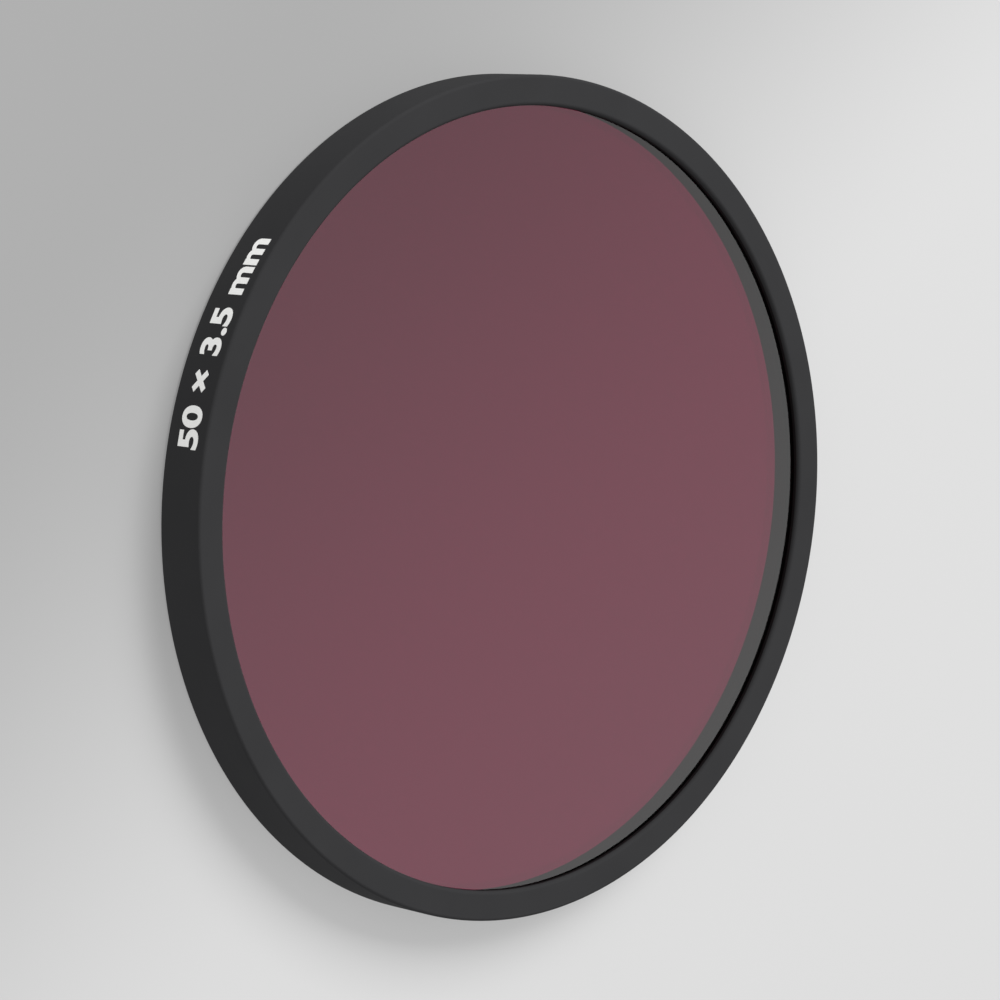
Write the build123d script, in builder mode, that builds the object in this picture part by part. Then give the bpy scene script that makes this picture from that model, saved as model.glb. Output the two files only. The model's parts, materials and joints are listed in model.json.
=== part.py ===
from build123d import *
import os

# Round bandpass filter for light, mounted in a thin turned cell. Millimetres throughout.
# The filter lies on its back face: the origin is the centre of that face on the optical axis,
# and +Z runs along the axis to the front face.
# The glass drops into the cell from behind, seats on the front lip and is held by a ring that
# is screwed in after it.

# Cell
outer_diameter = 50.0      # over the rim, the size that a filter holder is bored for
lip_thickness = 0.45       # front lip, so also how deep the glass lies behind the front face
lip_overlap = 0.80         # how far the lip reaches in over the glass
thread_wall = 0.50         # metal left between the root of the thread and the rim
thread_depth = 0.27        # of the fine thread, 0.5 mm pitch, that takes the retaining ring
thread_runout = 0.30       # thread cut past the front of the retaining ring
seat_step = 0.18           # from the crest of the thread in to the bore that centres the glass
rim_rounding = 0.20        # edge where the front face meets the rim
opening_rounding = 0.25    # edge where the front face meets the opening
back_chamfer = 0.20        # edge where the back face meets the rim
mouth_chamfer = 0.15       # lead-in of the threaded bore

# Glass
glass_thickness = 2.0
glass_clearance = 0.05     # all round the glass in its bore
glass_bevel = 0.15         # ground bevel on both edges

# Retaining ring
retainer_thickness = 1.00
retainer_recess = 0.05     # how far the ring lies inside the back face
retainer_overlap = 0.45    # how far the ring reaches in over the glass
bore_chamfer = 0.05        # on the back edge of its bore
thread_chamfer = 0.08      # on both ends of its threaded edge
slot_width = 1.60          # two slots for a spanner, one at each end of a diameter
slot_depth = 0.40          # into the back of the ring, so that its front edge stays whole
slot_angle = -10.0         # degrees from X, where the ring comes to stand once it is tight

# Radii, from the rim inwards. The thread is too fine to cut here, so the cell and the retaining
# ring meet on a plain cylinder at the middle of its depth.
rim_radius = outer_diameter / 2
thread_root_radius = rim_radius - thread_wall
thread_crest_radius = thread_root_radius - thread_depth
thread_mid_radius = (thread_root_radius + thread_crest_radius) / 2
seat_radius = thread_crest_radius - seat_step
glass_radius = seat_radius - glass_clearance
opening_radius = glass_radius - lip_overlap
retainer_bore_radius = glass_radius - retainer_overlap

# Heights, from the back face up
retainer_back = retainer_recess
glass_back = retainer_back + retainer_thickness
lip_back = glass_back + glass_thickness
front_face = lip_back + lip_thickness
thread_end = glass_back + thread_runout

os.makedirs("parts", exist_ok=True)

# Cell ring: one turning of black anodised aluminium, stepped inside, with a plain rim
with BuildPart() as cell_ring:
    with BuildSketch(Plane.XZ) as cell_section:
        with BuildLine():
            Polyline(
                (rim_radius, 0),
                (rim_radius, front_face),
                (opening_radius, front_face),
                (opening_radius, lip_back),
                (seat_radius, lip_back),
                (seat_radius, thread_end),
                (thread_mid_radius, thread_end),
                (thread_mid_radius, 0),
                close=True,
            )
        make_face()
    revolve(axis=Axis.Z)

    front_edges = cell_ring.edges().filter_by(GeomType.CIRCLE).group_by(Axis.Z)[-1]
    fillet(front_edges.sort_by(SortBy.RADIUS)[-1], rim_rounding)
    front_edges = cell_ring.edges().filter_by(GeomType.CIRCLE).group_by(Axis.Z)[-1]
    fillet(front_edges.sort_by(SortBy.RADIUS)[0], opening_rounding)
    back_edges = cell_ring.edges().filter_by(GeomType.CIRCLE).group_by(Axis.Z)[0]
    chamfer(back_edges.sort_by(SortBy.RADIUS)[-1], back_chamfer)
    back_edges = cell_ring.edges().filter_by(GeomType.CIRCLE).group_by(Axis.Z)[0]
    chamfer(back_edges.sort_by(SortBy.RADIUS)[0], mouth_chamfer)
cell_ring.part.label = "cell_ring"
export_step(cell_ring.part, "parts/cell_ring.step")

# Filter glass: one coated disc with flat faces and a bevel ground on each edge
with BuildPart() as filter_glass:
    with BuildSketch(Plane.XY.offset(glass_back)):
        Circle(glass_radius)
    extrude(amount=glass_thickness)
    chamfer(filter_glass.edges().filter_by(GeomType.CIRCLE), glass_bevel)
filter_glass.part.label = "filter_glass"
export_step(filter_glass.part, "parts/filter_glass.step")

# Retaining ring: threaded on its edge, with two slots for the spanner that screws it in
with BuildPart() as retaining_ring:
    with BuildSketch(Plane.XY.offset(retainer_back)):
        Circle(thread_mid_radius)
        Circle(retainer_bore_radius, mode=Mode.SUBTRACT)
    extrude(amount=retainer_thickness)

    ring_edges = retaining_ring.edges().filter_by(GeomType.CIRCLE)
    chamfer(ring_edges.group_by(SortBy.RADIUS)[-1], thread_chamfer)
    bore_edges = retaining_ring.edges().filter_by(GeomType.CIRCLE).group_by(SortBy.RADIUS)[0]
    chamfer(bore_edges.sort_by(Axis.Z)[0], bore_chamfer)

    # One pass of a cutter across the back of the ring leaves both slots
    with BuildSketch(Plane.XY.offset(retainer_back)):
        Rectangle(outer_diameter, slot_width, rotation=slot_angle)
    extrude(amount=slot_depth, mode=Mode.SUBTRACT)
retaining_ring.part.label = "retaining_ring"
export_step(retaining_ring.part, "parts/retaining_ring.step")
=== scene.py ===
import json
import math

import bmesh
import bpy
from mathutils import Matrix, Vector


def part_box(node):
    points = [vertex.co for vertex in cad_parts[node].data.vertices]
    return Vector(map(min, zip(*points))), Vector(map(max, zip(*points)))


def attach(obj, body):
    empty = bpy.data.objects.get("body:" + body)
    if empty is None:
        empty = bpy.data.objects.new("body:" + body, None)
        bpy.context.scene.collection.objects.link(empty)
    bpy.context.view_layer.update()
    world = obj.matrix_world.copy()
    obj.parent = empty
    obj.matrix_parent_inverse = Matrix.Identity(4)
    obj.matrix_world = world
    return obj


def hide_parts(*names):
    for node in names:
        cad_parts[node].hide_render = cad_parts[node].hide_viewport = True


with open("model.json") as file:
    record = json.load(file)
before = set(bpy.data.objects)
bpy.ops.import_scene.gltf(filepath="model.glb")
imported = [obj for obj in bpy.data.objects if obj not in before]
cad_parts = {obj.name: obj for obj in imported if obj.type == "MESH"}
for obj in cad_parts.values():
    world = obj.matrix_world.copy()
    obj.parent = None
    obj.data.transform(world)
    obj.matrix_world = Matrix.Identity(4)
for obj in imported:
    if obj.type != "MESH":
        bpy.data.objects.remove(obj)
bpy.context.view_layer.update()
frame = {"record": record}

# A round bandpass filter lies on its back face. Its axis is Z, and z = 0 is the floor.
# Its lengths are written in millimetres and multiplied by MM, because the scene is in metres.
MM = 0.001

# Sizes that the frame gives
mounts = {mount["name"]: mount for mount in frame["record"]["mounts"]}
rim_radius = mounts["rim"]["dims"]["r_mm"] * MM
front_face = mounts["front_seat"]["pos_m"][2]
glass_low, glass_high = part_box("filter_glass")
retainer_low, retainer_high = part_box("retaining_ring")
glass_radius = glass_high.x
thread_mid_radius = retainer_high.x

# Cell
lip_overlap = 0.80 * MM
glass_clearance = 0.05 * MM
seat_radius = glass_radius + glass_clearance
opening_radius = glass_radius - lip_overlap
thread_runout = 0.30 * MM
rim_rounding = 0.20 * MM
opening_rounding = 0.25 * MM
back_chamfer = 0.20 * MM
mouth_chamfer = 0.15 * MM

# Fine thread between the cell and the retaining ring, drawn as one ring for each turn. Its turns
# start at one height on both pieces, so that they mesh.
thread_pitch = 0.50 * MM
thread_depth = 0.27 * MM
thread_play = 0.02 * MM
thread_start = mouth_chamfer

# Glass. A hair's gap between it and the metal keeps their faces from lying in one plane.
glass_bevel = 0.15 * MM
glass_seat_gap = 0.004 * MM

# Retaining ring
retainer_overlap = 0.45 * MM
bore_chamfer = 0.05 * MM
thread_chamfer = 0.08 * MM
slot_width = 1.60 * MM
slot_depth = 0.40 * MM
slot_angle = math.radians(-10.0)

# Size marking, printed on the rim in white. Angles run in the plane of the filter from +Y to -X.
marking_words = "50 × 3.5 mm"
marking_height = 1.72 * MM
marking_middle = 1.95 * MM
marking_start = math.radians(169.0)
marking_end = math.radians(139.8)
marking_relief = 0.012 * MM
marking_slice = 0.20 * MM

# Roundness and edges. What is within near of a radius or a height counts as being on it.
turning_steps = 288
rounding_segments = 5
sharp_angle = math.radians(32)
weld_distance = 0.001 * MM
near = 0.01 * MM


def linear(hex_colour):
    """An sRGB colour written as hex, as the linear colour with alpha that a shader takes."""
    channels = [int(hex_colour[i:i + 2], 16) / 255 for i in (1, 3, 5)]
    curve = [c / 12.92 if c <= 0.04045 else ((c + 0.055) / 1.055) ** 2.4 for c in channels]
    return (*curve, 1.0)


def add(material, kind, inputs=None, **settings):
    """Adds a node of one kind to a material or world, sets its settings and fills its inputs.

    An input is given as a value or as the output socket to link to it.
    """
    node = material.node_tree.nodes.new(kind)
    for name, value in settings.items():
        setattr(node, name, value)
    for name, value in (inputs or {}).items():
        if isinstance(value, bpy.types.NodeSocket):
            material.node_tree.links.new(value, node.inputs[name])
        else:
            node.inputs[name].default_value = value
    return node


def new_material(name):
    """A material that has no nodes yet."""
    material = bpy.data.materials.new(name)
    material.use_nodes = True
    material.node_tree.nodes.clear()
    return material


def anodised_aluminium(name, dark, light, roughness):
    """Turned aluminium, bead blasted and dyed black in the anodising bath.

    The oxide is a hard clear layer over black dye, and the blasting has broken its gloss, so it is
    dark and dull and doesn't shine like bare metal. The lathe leaves faint rings round the axis, the
    blasting a fine even grain, and the dye is a little uneven. The rings are 0.25 mm apart, coarser
    than a real feed, so that they show.
    """
    ring_spacing = 0.25 * MM
    ring_depth = 0.004 * MM
    grain_size = 0.07 * MM
    grain_depth = 0.006 * MM
    dye_patch = 6.0 * MM
    roughness_spread = 0.05
    material = new_material(name)
    place = add(material, "ShaderNodeTexCoord").outputs["Object"]
    parts = add(material, "ShaderNodeSeparateXYZ", {"Vector": place}).outputs
    x_squared = add(material, "ShaderNodeMath", {0: parts["X"], 1: parts["X"]}, operation="MULTIPLY")
    squares = add(
        material,
        "ShaderNodeMath",
        {0: parts["Y"], 1: parts["Y"], 2: x_squared.outputs[0]},
        operation="MULTIPLY_ADD",
    )
    radius = add(material, "ShaderNodeMath", {0: squares.outputs[0]}, operation="SQRT")
    section = add(material, "ShaderNodeCombineXYZ", {"X": radius.outputs[0], "Y": parts["Z"]})
    rings = add(
        material,
        "ShaderNodeTexNoise",
        {"Vector": section.outputs[0], "Scale": 1 / ring_spacing, "Detail": 2.0, "Roughness": 0.6},
    )
    grain = add(
        material,
        "ShaderNodeTexNoise",
        {"Vector": place, "Scale": 1 / grain_size, "Detail": 1.0, "Roughness": 0.5},
    )
    dye = add(
        material,
        "ShaderNodeTexNoise",
        {"Vector": place, "Scale": 1 / dye_patch, "Detail": 3.0, "Roughness": 0.5},
    )
    colour = add(
        material,
        "ShaderNodeMix",
        {"Factor": dye.outputs["Fac"], "A": linear(dark), "B": linear(light)},
        data_type="RGBA",
    )
    sheen = add(
        material,
        "ShaderNodeMapRange",
        {
            "Value": rings.outputs["Fac"],
            "To Min": roughness - roughness_spread,
            "To Max": roughness + roughness_spread,
        },
    )
    ring_bump = add(
        material,
        "ShaderNodeBump",
        {"Strength": 0.25, "Distance": ring_depth, "Height": rings.outputs["Fac"]},
    )
    grain_bump = add(
        material,
        "ShaderNodeBump",
        {
            "Strength": 0.35,
            "Distance": grain_depth,
            "Height": grain.outputs["Fac"],
            "Normal": ring_bump.outputs["Normal"],
        },
    )
    surface = add(
        material,
        "ShaderNodeBsdfPrincipled",
        {
            "Base Color": colour.outputs["Result"],
            "Roughness": sheen.outputs["Result"],
            "IOR": 1.45,
            "Specular IOR Level": 0.02,
            "Normal": grain_bump.outputs["Normal"],
        },
    )
    add(material, "ShaderNodeOutputMaterial", {"Surface": surface.outputs[0]})
    return material


def coated_glass():
    """Polished optical glass under hard vacuum coatings that pass only a band of deep red.

    Its faces are flat and clean, so it mirrors the room faintly and evenly, and what shows through
    it is crimson. The coatings reflect somewhat more than bare glass, which the coat layer gives.
    """
    material = new_material("coated_filter_glass")
    surface = add(
        material,
        "ShaderNodeBsdfPrincipled",
        {
            "Base Color": linear("#710334"),
            "Roughness": 0.0,
            "IOR": 1.52,
            "Transmission Weight": 1.0,
            "Coat Weight": 0.8,
            "Coat Roughness": 0.0,
            "Coat IOR": 1.5,
        },
    )
    add(material, "ShaderNodeOutputMaterial", {"Surface": surface.outputs[0]})
    return material


def black_ink_and_painted_shade():
    """Flat black ink on the ground edge of the glass, where light would stray in. On the wall of the lip
    above it the same black is painted shade, which stands in for the shadow in that narrow recess. It is
    dull and takes the grain of what it covers."""
    grit = 0.12 * MM
    grit_depth = 0.01 * MM
    material = new_material("black_ink_and_painted_shade")
    place = add(material, "ShaderNodeTexCoord").outputs["Object"]
    pits = add(material, "ShaderNodeTexNoise", {"Vector": place, "Scale": 1 / grit, "Detail": 2.0})
    # Near black, which on the lip's wall is painted shade
    colour = add(
        material,
        "ShaderNodeMix",
        {"Factor": pits.outputs["Fac"], "A": linear("#110f10"), "B": linear("#1e1a1b")},
        data_type="RGBA",
    )
    bump = add(
        material,
        "ShaderNodeBump",
        {"Strength": 0.6, "Distance": grit_depth, "Height": pits.outputs["Fac"]},
    )
    surface = add(
        material,
        "ShaderNodeBsdfPrincipled",
        {
            "Base Color": colour.outputs["Result"],
            "Roughness": 0.85,
            "Specular IOR Level": 0.08,
            "Normal": bump.outputs["Normal"],
        },
    )
    add(material, "ShaderNodeOutputMaterial", {"Surface": surface.outputs[0]})
    return material


def white_pad_ink():
    """Epoxy pad-printing ink: matt, opaque white, a thin film with a slightly uneven coat."""
    film_patch = 0.35 * MM
    film_ripple = 0.004 * MM
    material = new_material("white_pad_ink")
    place = add(material, "ShaderNodeTexCoord").outputs["Object"]
    film = add(material, "ShaderNodeTexNoise", {"Vector": place, "Scale": 1 / film_patch, "Detail": 3.0})
    colour = add(
        material,
        "ShaderNodeMix",
        {"Factor": film.outputs["Fac"], "A": linear("#f0f0ee"), "B": linear("#fafaf8")},
        data_type="RGBA",
    )
    bump = add(
        material,
        "ShaderNodeBump",
        {"Strength": 0.3, "Distance": film_ripple, "Height": film.outputs["Fac"]},
    )
    surface = add(
        material,
        "ShaderNodeBsdfPrincipled",
        {"Base Color": colour.outputs["Result"], "Roughness": 0.55, "Normal": bump.outputs["Normal"]},
    )
    add(material, "ShaderNodeOutputMaterial", {"Surface": surface.outputs[0]})
    return material


def turned_bmesh(outline):
    """Spins a closed outline of (radius, height) corners once round the axis."""
    bm = bmesh.new()
    corners = [bm.verts.new((radius, 0.0, height)) for radius, height in outline]
    sides = [bm.edges.new(pair) for pair in zip(corners, corners[1:] + corners[:1])]
    bmesh.ops.spin(
        bm,
        geom=corners + sides,
        cent=(0.0, 0.0, 0.0),
        axis=(0.0, 0.0, 1.0),
        angle=2 * math.pi,
        steps=turning_steps,
        use_merge=True,
    )
    bmesh.ops.remove_doubles(bm, verts=bm.verts, dist=weld_distance)
    bmesh.ops.recalc_face_normals(bm, faces=bm.faces)
    return bm


def soften_ring(bm, radius, height, size, segments):
    """Bevels the round edge that lies at one radius and height."""

    def on_ring(vert):
        return abs(math.hypot(vert.co.x, vert.co.y) - radius) < near and abs(vert.co.z - height) < near

    ring = [edge for edge in bm.edges if all(on_ring(vert) for vert in edge.verts)]
    bmesh.ops.bevel(
        bm,
        geom=ring,
        offset=size,
        offset_type="OFFSET",
        affect="EDGES",
        segments=segments,
        profile=0.5,
        material=-1,
    )


def finished(name, bm, node, slot, *materials):
    """Turns a bmesh into a shaded piece that rides on the object, in place of a node if one is named."""
    mesh = bpy.data.meshes.new(name)
    bm.to_mesh(mesh)
    bm.free()
    for polygon in mesh.polygons:
        polygon.use_smooth = True
    mesh.set_sharp_from_angle(angle=sharp_angle)
    for material in materials:
        mesh.materials.append(material)
    piece = bpy.data.objects.new(name, mesh)
    bpy.context.scene.collection.objects.link(piece)
    weighted = piece.modifiers.new("even_shading", "WEIGHTED_NORMAL")
    weighted.keep_sharp = True
    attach(piece, "root")
    if node:
        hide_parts(node)
    return piece


def thread_outline(inner_radius, outer_radius, top):
    """Corners of a vee thread's section, upwards from where both threads start, as one ring for each
    turn."""
    corners = []
    height = thread_start
    outside = False
    while height < top:
        corners.append((outer_radius if outside else inner_radius, height))
        outside = not outside
        height += thread_pitch / 2
    return corners


def make_cell(metal, ink):
    """The cell: front lip, bore for the glass and threaded mouth in one turning. The upright wall of the
    lip, whose normals have next to no Z part, gets the black ink, which there is painted shade."""
    upright_limit = 0.1
    thread_end = glass_low.z + thread_runout
    crest_radius = thread_mid_radius - thread_depth / 2
    root_radius = thread_mid_radius + thread_depth / 2
    thread = thread_outline(crest_radius, root_radius, thread_end)
    bm = turned_bmesh([
        (rim_radius, 0.0),
        (rim_radius, front_face),
        (opening_radius, front_face),
        (opening_radius, glass_high.z),
        (seat_radius, glass_high.z),
        (seat_radius, thread_end),
        (crest_radius, thread_end),
        *reversed(thread),
        (thread_mid_radius + mouth_chamfer, 0.0),
    ])
    soften_ring(bm, rim_radius, front_face, rim_rounding, rounding_segments)
    soften_ring(bm, opening_radius, front_face, opening_rounding, rounding_segments)
    soften_ring(bm, rim_radius, 0.0, back_chamfer, 1)
    # The black ink on the lip's wall is painted shade, standing in for the shadow in that recess
    for face in bm.faces:
        middle = face.calc_center_median()
        at_opening = math.hypot(middle.x, middle.y) < opening_radius + near
        painted_shade_on_lip_wall = at_opening and middle.z > glass_high.z and abs(face.normal.z) < upright_limit
        face.material_index = 1 if painted_shade_on_lip_wall else 0
    finished("cell", bm, "cell_ring", "black_anodised_aluminium", metal, ink)


def make_glass(polished, ink):
    """The filter glass: two polished faces, and an edge and bevels that are ground and inked."""
    # The Z part of a normal is 1 on the faces, about 0.7 on the bevels and 0 on the edge
    level_limit = 0.9
    low = glass_low.z + glass_seat_gap
    high = glass_high.z - glass_seat_gap
    bm = bmesh.new()
    bmesh.ops.create_circle(
        bm,
        cap_ends=True,
        segments=turning_steps,
        radius=glass_radius,
        matrix=Matrix.Translation((0.0, 0.0, low)),
    )
    lifted = bmesh.ops.extrude_face_region(bm, geom=bm.faces[:])
    lifted_verts = [part for part in lifted["geom"] if isinstance(part, bmesh.types.BMVert)]
    bmesh.ops.translate(bm, verts=lifted_verts, vec=(0.0, 0.0, high - low))
    bmesh.ops.recalc_face_normals(bm, faces=bm.faces)
    soften_ring(bm, glass_radius, low, glass_bevel, 1)
    soften_ring(bm, glass_radius, high, glass_bevel, 1)
    for face in bm.faces:
        face.material_index = 0 if abs(face.normal.z) > level_limit else 1
    finished("glass_disc", bm, "filter_glass", "red_filter_glass", polished, ink)


def make_retainer(metal):
    """The retaining ring: threaded edge, plain bore and two spanner slots across its back."""
    low, high = retainer_low.z, retainer_high.z - glass_seat_gap
    bore_radius = glass_radius - retainer_overlap
    crest_radius = thread_mid_radius + thread_depth / 2 - thread_play
    root_radius = thread_mid_radius - thread_depth / 2 - thread_play
    thread = thread_outline(root_radius, crest_radius, high - thread_chamfer)
    bm = turned_bmesh([
        (bore_radius + bore_chamfer, low),
        (root_radius, low),
        *thread,
        (root_radius, high),
        (bore_radius, high),
        (bore_radius, low + bore_chamfer),
    ])
    ring = finished("spanner_ring", bm, "retaining_ring", "black_anodised_retainer", metal)

    # The cutter is centred on the back of the ring, so only half of its height cuts
    cutter_bm = bmesh.new()
    bmesh.ops.create_cube(cutter_bm, size=1.0)
    cutter_size = Vector((2 * rim_radius, slot_width, 2 * slot_depth))
    bmesh.ops.scale(cutter_bm, vec=cutter_size, verts=cutter_bm.verts)
    slot_turn = Matrix.Rotation(slot_angle, 3, "Z")
    bmesh.ops.rotate(cutter_bm, cent=(0.0, 0.0, 0.0), matrix=slot_turn, verts=cutter_bm.verts)
    bmesh.ops.translate(cutter_bm, vec=(0.0, 0.0, low), verts=cutter_bm.verts)
    cutter_mesh = bpy.data.meshes.new("slot_cutter")
    cutter_bm.to_mesh(cutter_mesh)
    cutter_bm.free()
    cutter = bpy.data.objects.new("slot_cutter", cutter_mesh)
    bpy.context.scene.collection.objects.link(cutter)
    cut = ring.modifiers.new("spanner_slots", "BOOLEAN")
    cut.operation = "DIFFERENCE"
    cut.solver = "EXACT"
    cut.object = cutter
    # The cut comes first, so that the shading is evened out on the finished shape
    ring.modifiers.move(from_index=1, to_index=0)
    depsgraph = bpy.context.evaluated_depsgraph_get()
    shaped = bpy.data.meshes.new_from_object(ring.evaluated_get(depsgraph), depsgraph=depsgraph)
    ring.modifiers.clear()
    ring.data = shaped
    bpy.data.objects.remove(cutter)


def make_marking(ink):
    """Size marking: flat letters, cut into narrow strips, made a thin film and bent round the rim."""
    # In the letters' own units, before they are brought to size
    letter_weight = 0.035
    letter_weld = 0.0005
    words = bpy.data.curves.new("marking_words", "FONT")
    words.body = marking_words
    words.size = 1.0
    words.offset = letter_weight
    words.resolution_u = 6
    carrier = bpy.data.objects.new("marking_carrier", words)
    bpy.context.scene.collection.objects.link(carrier)
    depsgraph = bpy.context.evaluated_depsgraph_get()
    flat = bpy.data.meshes.new_from_object(carrier.evaluated_get(depsgraph), depsgraph=depsgraph)
    bpy.data.objects.remove(carrier)
    bm = bmesh.new()
    bm.from_mesh(flat)
    bmesh.ops.remove_doubles(bm, verts=bm.verts, dist=letter_weld)

    left = min(vert.co.x for vert in bm.verts)
    right = max(vert.co.x for vert in bm.verts)
    low = min(vert.co.y for vert in bm.verts)
    high = max(vert.co.y for vert in bm.verts)
    arc = (marking_start - marking_end) * rim_radius
    bmesh.ops.translate(bm, verts=bm.verts, vec=(-left, -(low + high) / 2, 0.0))
    stretch = (arc / (right - left), marking_height / (high - low), 1.0)
    bmesh.ops.scale(bm, vec=stretch, verts=bm.verts)

    for strip in range(1, int(arc / marking_slice)):
        everything = bm.verts[:] + bm.edges[:] + bm.faces[:]
        bmesh.ops.bisect_plane(
            bm,
            geom=everything,
            plane_co=(strip * marking_slice, 0.0, 0.0),
            plane_no=(1.0, 0.0, 0.0),
        )
    film = bmesh.ops.extrude_face_region(bm, geom=bm.faces[:])
    film_verts = [part for part in film["geom"] if isinstance(part, bmesh.types.BMVert)]
    bmesh.ops.translate(bm, verts=film_verts, vec=(0.0, 0.0, marking_relief))

    for vert in bm.verts:
        angle = marking_start - vert.co.x / rim_radius
        radius = rim_radius + vert.co.z
        vert.co = Vector((-radius * math.sin(angle), radius * math.cos(angle), marking_middle - vert.co.y))
    bmesh.ops.recalc_face_normals(bm, faces=bm.faces)
    finished("size_marking", bm, None, "black_anodised_aluminium", ink)


def make_floor():
    """A sheet of pale matt paper, 6 m across. Its fade from grey to near white is a painted falloff of
    light.

    A share of what the camera sees of it, or the metal mirrors, or the glass lets through, glows by
    itself. The rest takes light and the filter's shadow. The light that it throws back on the rim is
    the same on all sides.
    """
    floor_radius = 3.0
    painted_falloff_direction = (0.80, 0.60, 0.0)
    painted_falloff_start = -33.0 * MM
    painted_falloff_end = 12.5 * MM
    camera_glow = 0.45
    mirrored_glow = 0.35
    transmitted_glow = 0.97
    bounce_strength = 0.85
    material = new_material("pale_paper")
    path = add(material, "ShaderNodeLightPath").outputs
    place = add(material, "ShaderNodeTexCoord").outputs["Object"]
    # The fade from grey to near white is painted light falloff, in the paper's tone and in its glow
    along_painted_falloff = add(
        material,
        "ShaderNodeVectorMath",
        {0: place, 1: painted_falloff_direction},
        operation="DOT_PRODUCT",
    )
    fade = add(
        material,
        "ShaderNodeMapRange",
        {"Value": along_painted_falloff.outputs["Value"], "From Min": painted_falloff_start, "From Max": painted_falloff_end},
        interpolation_type="SMOOTHSTEP",
    )
    paper_tone_with_painted_falloff = add(
        material,
        "ShaderNodeMix",
        {"Factor": fade.outputs["Result"], "A": linear("#9a9a9a"), "B": linear("#c5c5c5")},
        data_type="RGBA",
    )
    paper = add(material, "ShaderNodeBsdfDiffuse", {"Color": paper_tone_with_painted_falloff.outputs["Result"]})
    glow_tone_with_painted_falloff = add(
        material,
        "ShaderNodeMix",
        {"Factor": fade.outputs["Result"], "A": linear("#aeaeae"), "B": linear("#dddddd")},
        data_type="RGBA",
    )
    glow = add(material, "ShaderNodeEmission", {"Color": glow_tone_with_painted_falloff.outputs["Result"], "Strength": 1.0})
    camera_share = add(
        material,
        "ShaderNodeMath",
        {0: path["Is Camera Ray"], 1: camera_glow},
        operation="MULTIPLY",
    )
    glossy_share = add(
        material,
        "ShaderNodeMath",
        {0: path["Is Glossy Ray"], 1: mirrored_glow, 2: camera_share.outputs[0]},
        operation="MULTIPLY_ADD",
    )
    all_share = add(
        material,
        "ShaderNodeMath",
        {0: path["Is Transmission Ray"], 1: transmitted_glow, 2: glossy_share.outputs[0]},
        operation="MULTIPLY_ADD",
        use_clamp=True,
    )
    sheet = add(
        material,
        "ShaderNodeMixShader",
        {0: all_share.outputs[0], 1: paper.outputs[0], 2: glow.outputs[0]},
    )
    bounce = add(
        material,
        "ShaderNodeEmission",
        {"Color": linear("#ffffff"), "Strength": bounce_strength},
    )
    surface = add(
        material,
        "ShaderNodeMixShader",
        {0: path["Is Diffuse Ray"], 1: sheet.outputs[0], 2: bounce.outputs[0]},
    )
    add(material, "ShaderNodeOutputMaterial", {"Surface": surface.outputs[0]})

    bm = bmesh.new()
    bmesh.ops.create_circle(bm, cap_ends=True, segments=64, radius=floor_radius)
    mesh = bpy.data.meshes.new("paper_floor")
    bm.to_mesh(mesh)
    bm.free()
    mesh.materials.append(material)
    floor = bpy.data.objects.new("paper_floor", mesh)
    bpy.context.scene.collection.objects.link(floor)


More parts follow.
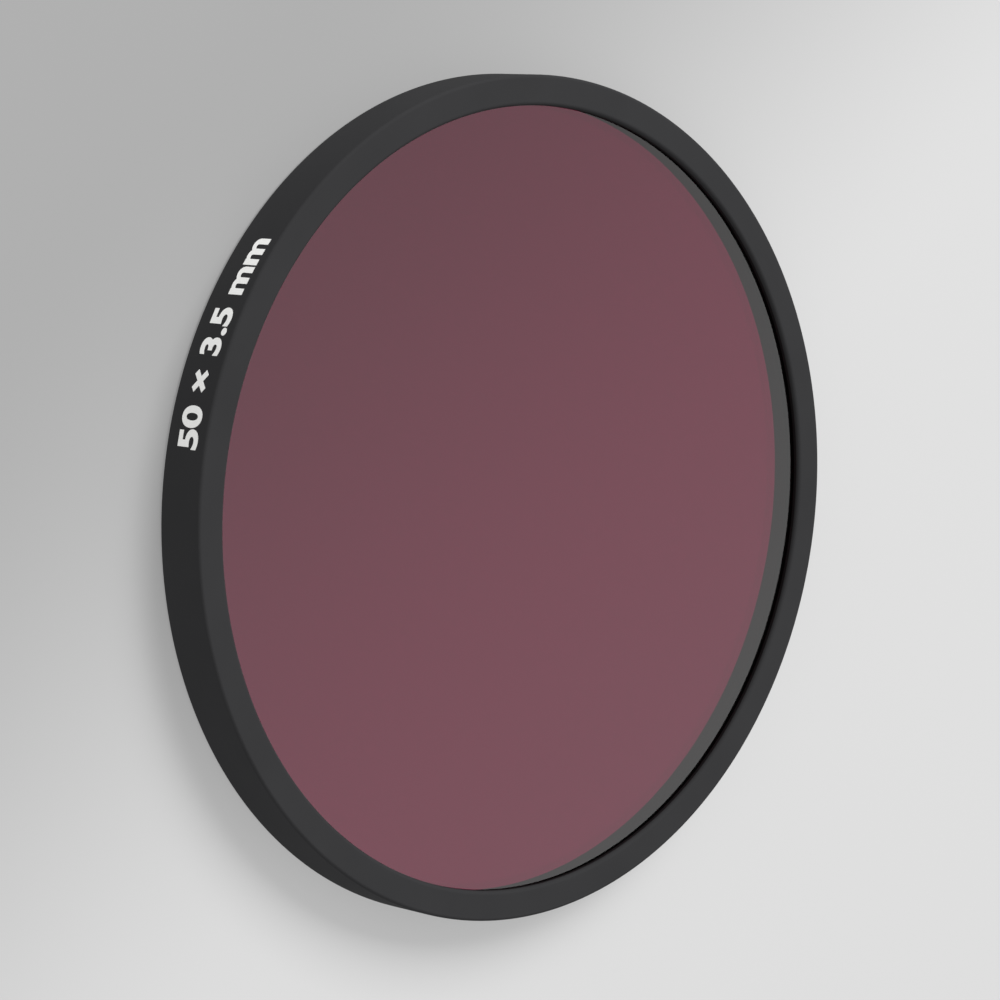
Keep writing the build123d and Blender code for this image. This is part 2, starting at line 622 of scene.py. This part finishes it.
def make_world():
    """Soft even light from all round. To the camera and in reflections it is a room that is grey at
    -X and fades to white at +X."""
    fade_reach = 0.30
    room_strength = 0.65
    world = bpy.data.worlds.new("pale_room")
    bpy.context.scene.world = world
    world.use_nodes = True
    world.node_tree.nodes.clear()
    path = add(world, "ShaderNodeLightPath").outputs
    seen = add(
        world,
        "ShaderNodeMath",
        {0: path["Is Camera Ray"], 1: path["Is Glossy Ray"]},
        operation="MAXIMUM",
    )
    toward = add(world, "ShaderNodeTexCoord").outputs["Generated"]
    side = add(world, "ShaderNodeSeparateXYZ", {"Vector": toward}).outputs["X"]
    fade = add(
        world,
        "ShaderNodeMapRange",
        {"Value": side, "From Min": -fade_reach, "From Max": fade_reach},
        interpolation_type="SMOOTHSTEP",
    )
    wall = add(
        world,
        "ShaderNodeMix",
        {"Factor": fade.outputs["Result"], "A": linear("#b4b4b4"), "B": linear("#ffffff")},
        data_type="RGBA",
    )
    room = add(world, "ShaderNodeBackground", {"Color": linear("#ffffff"), "Strength": room_strength})
    backdrop = add(world, "ShaderNodeBackground", {"Color": wall.outputs["Result"], "Strength": 1.0})
    surface = add(
        world,
        "ShaderNodeMixShader",
        {0: seen.outputs[0], 1: room.outputs[0], 2: backdrop.outputs[0]},
    )
    add(world, "ShaderNodeOutputWorld", {"Surface": surface.outputs[0]})


def make_key_lamp():
    """A square soft lamp that shines at the filter, without an image of itself in the glass. Its place
    and width are in metres and its power in watts."""
    place = Vector((-0.57, 0.25, 0.64))
    lamp = bpy.data.lights.new("key_lamp", "AREA")
    lamp.size = 0.50
    lamp.energy = 8.7
    holder = bpy.data.objects.new("key_lamp", lamp)
    bpy.context.scene.collection.objects.link(holder)
    holder.location = place
    holder.rotation_mode = "QUATERNION"
    holder.rotation_quaternion = (-place).to_track_quat("-Z", "Y")
    holder.visible_glossy = False
    holder.visible_transmission = False


def make_camera():
    """The camera looks down on the front face. It is rolled a quarter turn, so that the side of the
    filter at -X is at the top of the frame."""
    frame_top = Vector((-1.0, 0.0, 0.0))
    face_centre = Vector((0.0, 0.0, front_face))
    place = Vector((-29.07, -162.23, 171.80)) * MM + face_centre
    aim = Vector((-0.257, -2.470, 0.0)) * MM + face_centre
    forward = (aim - place).normalized()
    right = forward.cross(frame_top).normalized()
    up = right.cross(forward)
    camera = bpy.data.cameras.new("camera")
    camera.lens = 145.41
    camera.sensor_width = 36.0
    camera.clip_start = 0.01
    camera.clip_end = 20.0
    holder = bpy.data.objects.new("camera", camera)
    bpy.context.scene.collection.objects.link(holder)
    turn = Matrix((right, up, -forward)).transposed()
    holder.matrix_world = Matrix.Translation(place) @ turn.to_4x4()
    bpy.context.scene.camera = holder


black_cell = anodised_aluminium("black_anodised_aluminium", "#2f2f30", "#353536", roughness=0.70)
black_retainer = anodised_aluminium("black_anodised_retainer", "#29292a", "#2f2f30", roughness=0.66)
# Black ink for the glass edge, and painted shade on the lip's wall
black_ink_and_shade = black_ink_and_painted_shade()
make_cell(black_cell, black_ink_and_shade)
make_glass(coated_glass(), black_ink_and_shade)
make_retainer(black_retainer)
make_marking(white_pad_ink())

make_floor()
make_world()
make_key_lamp()
make_camera()
bpy.context.scene.view_settings.view_transform = "Standard"
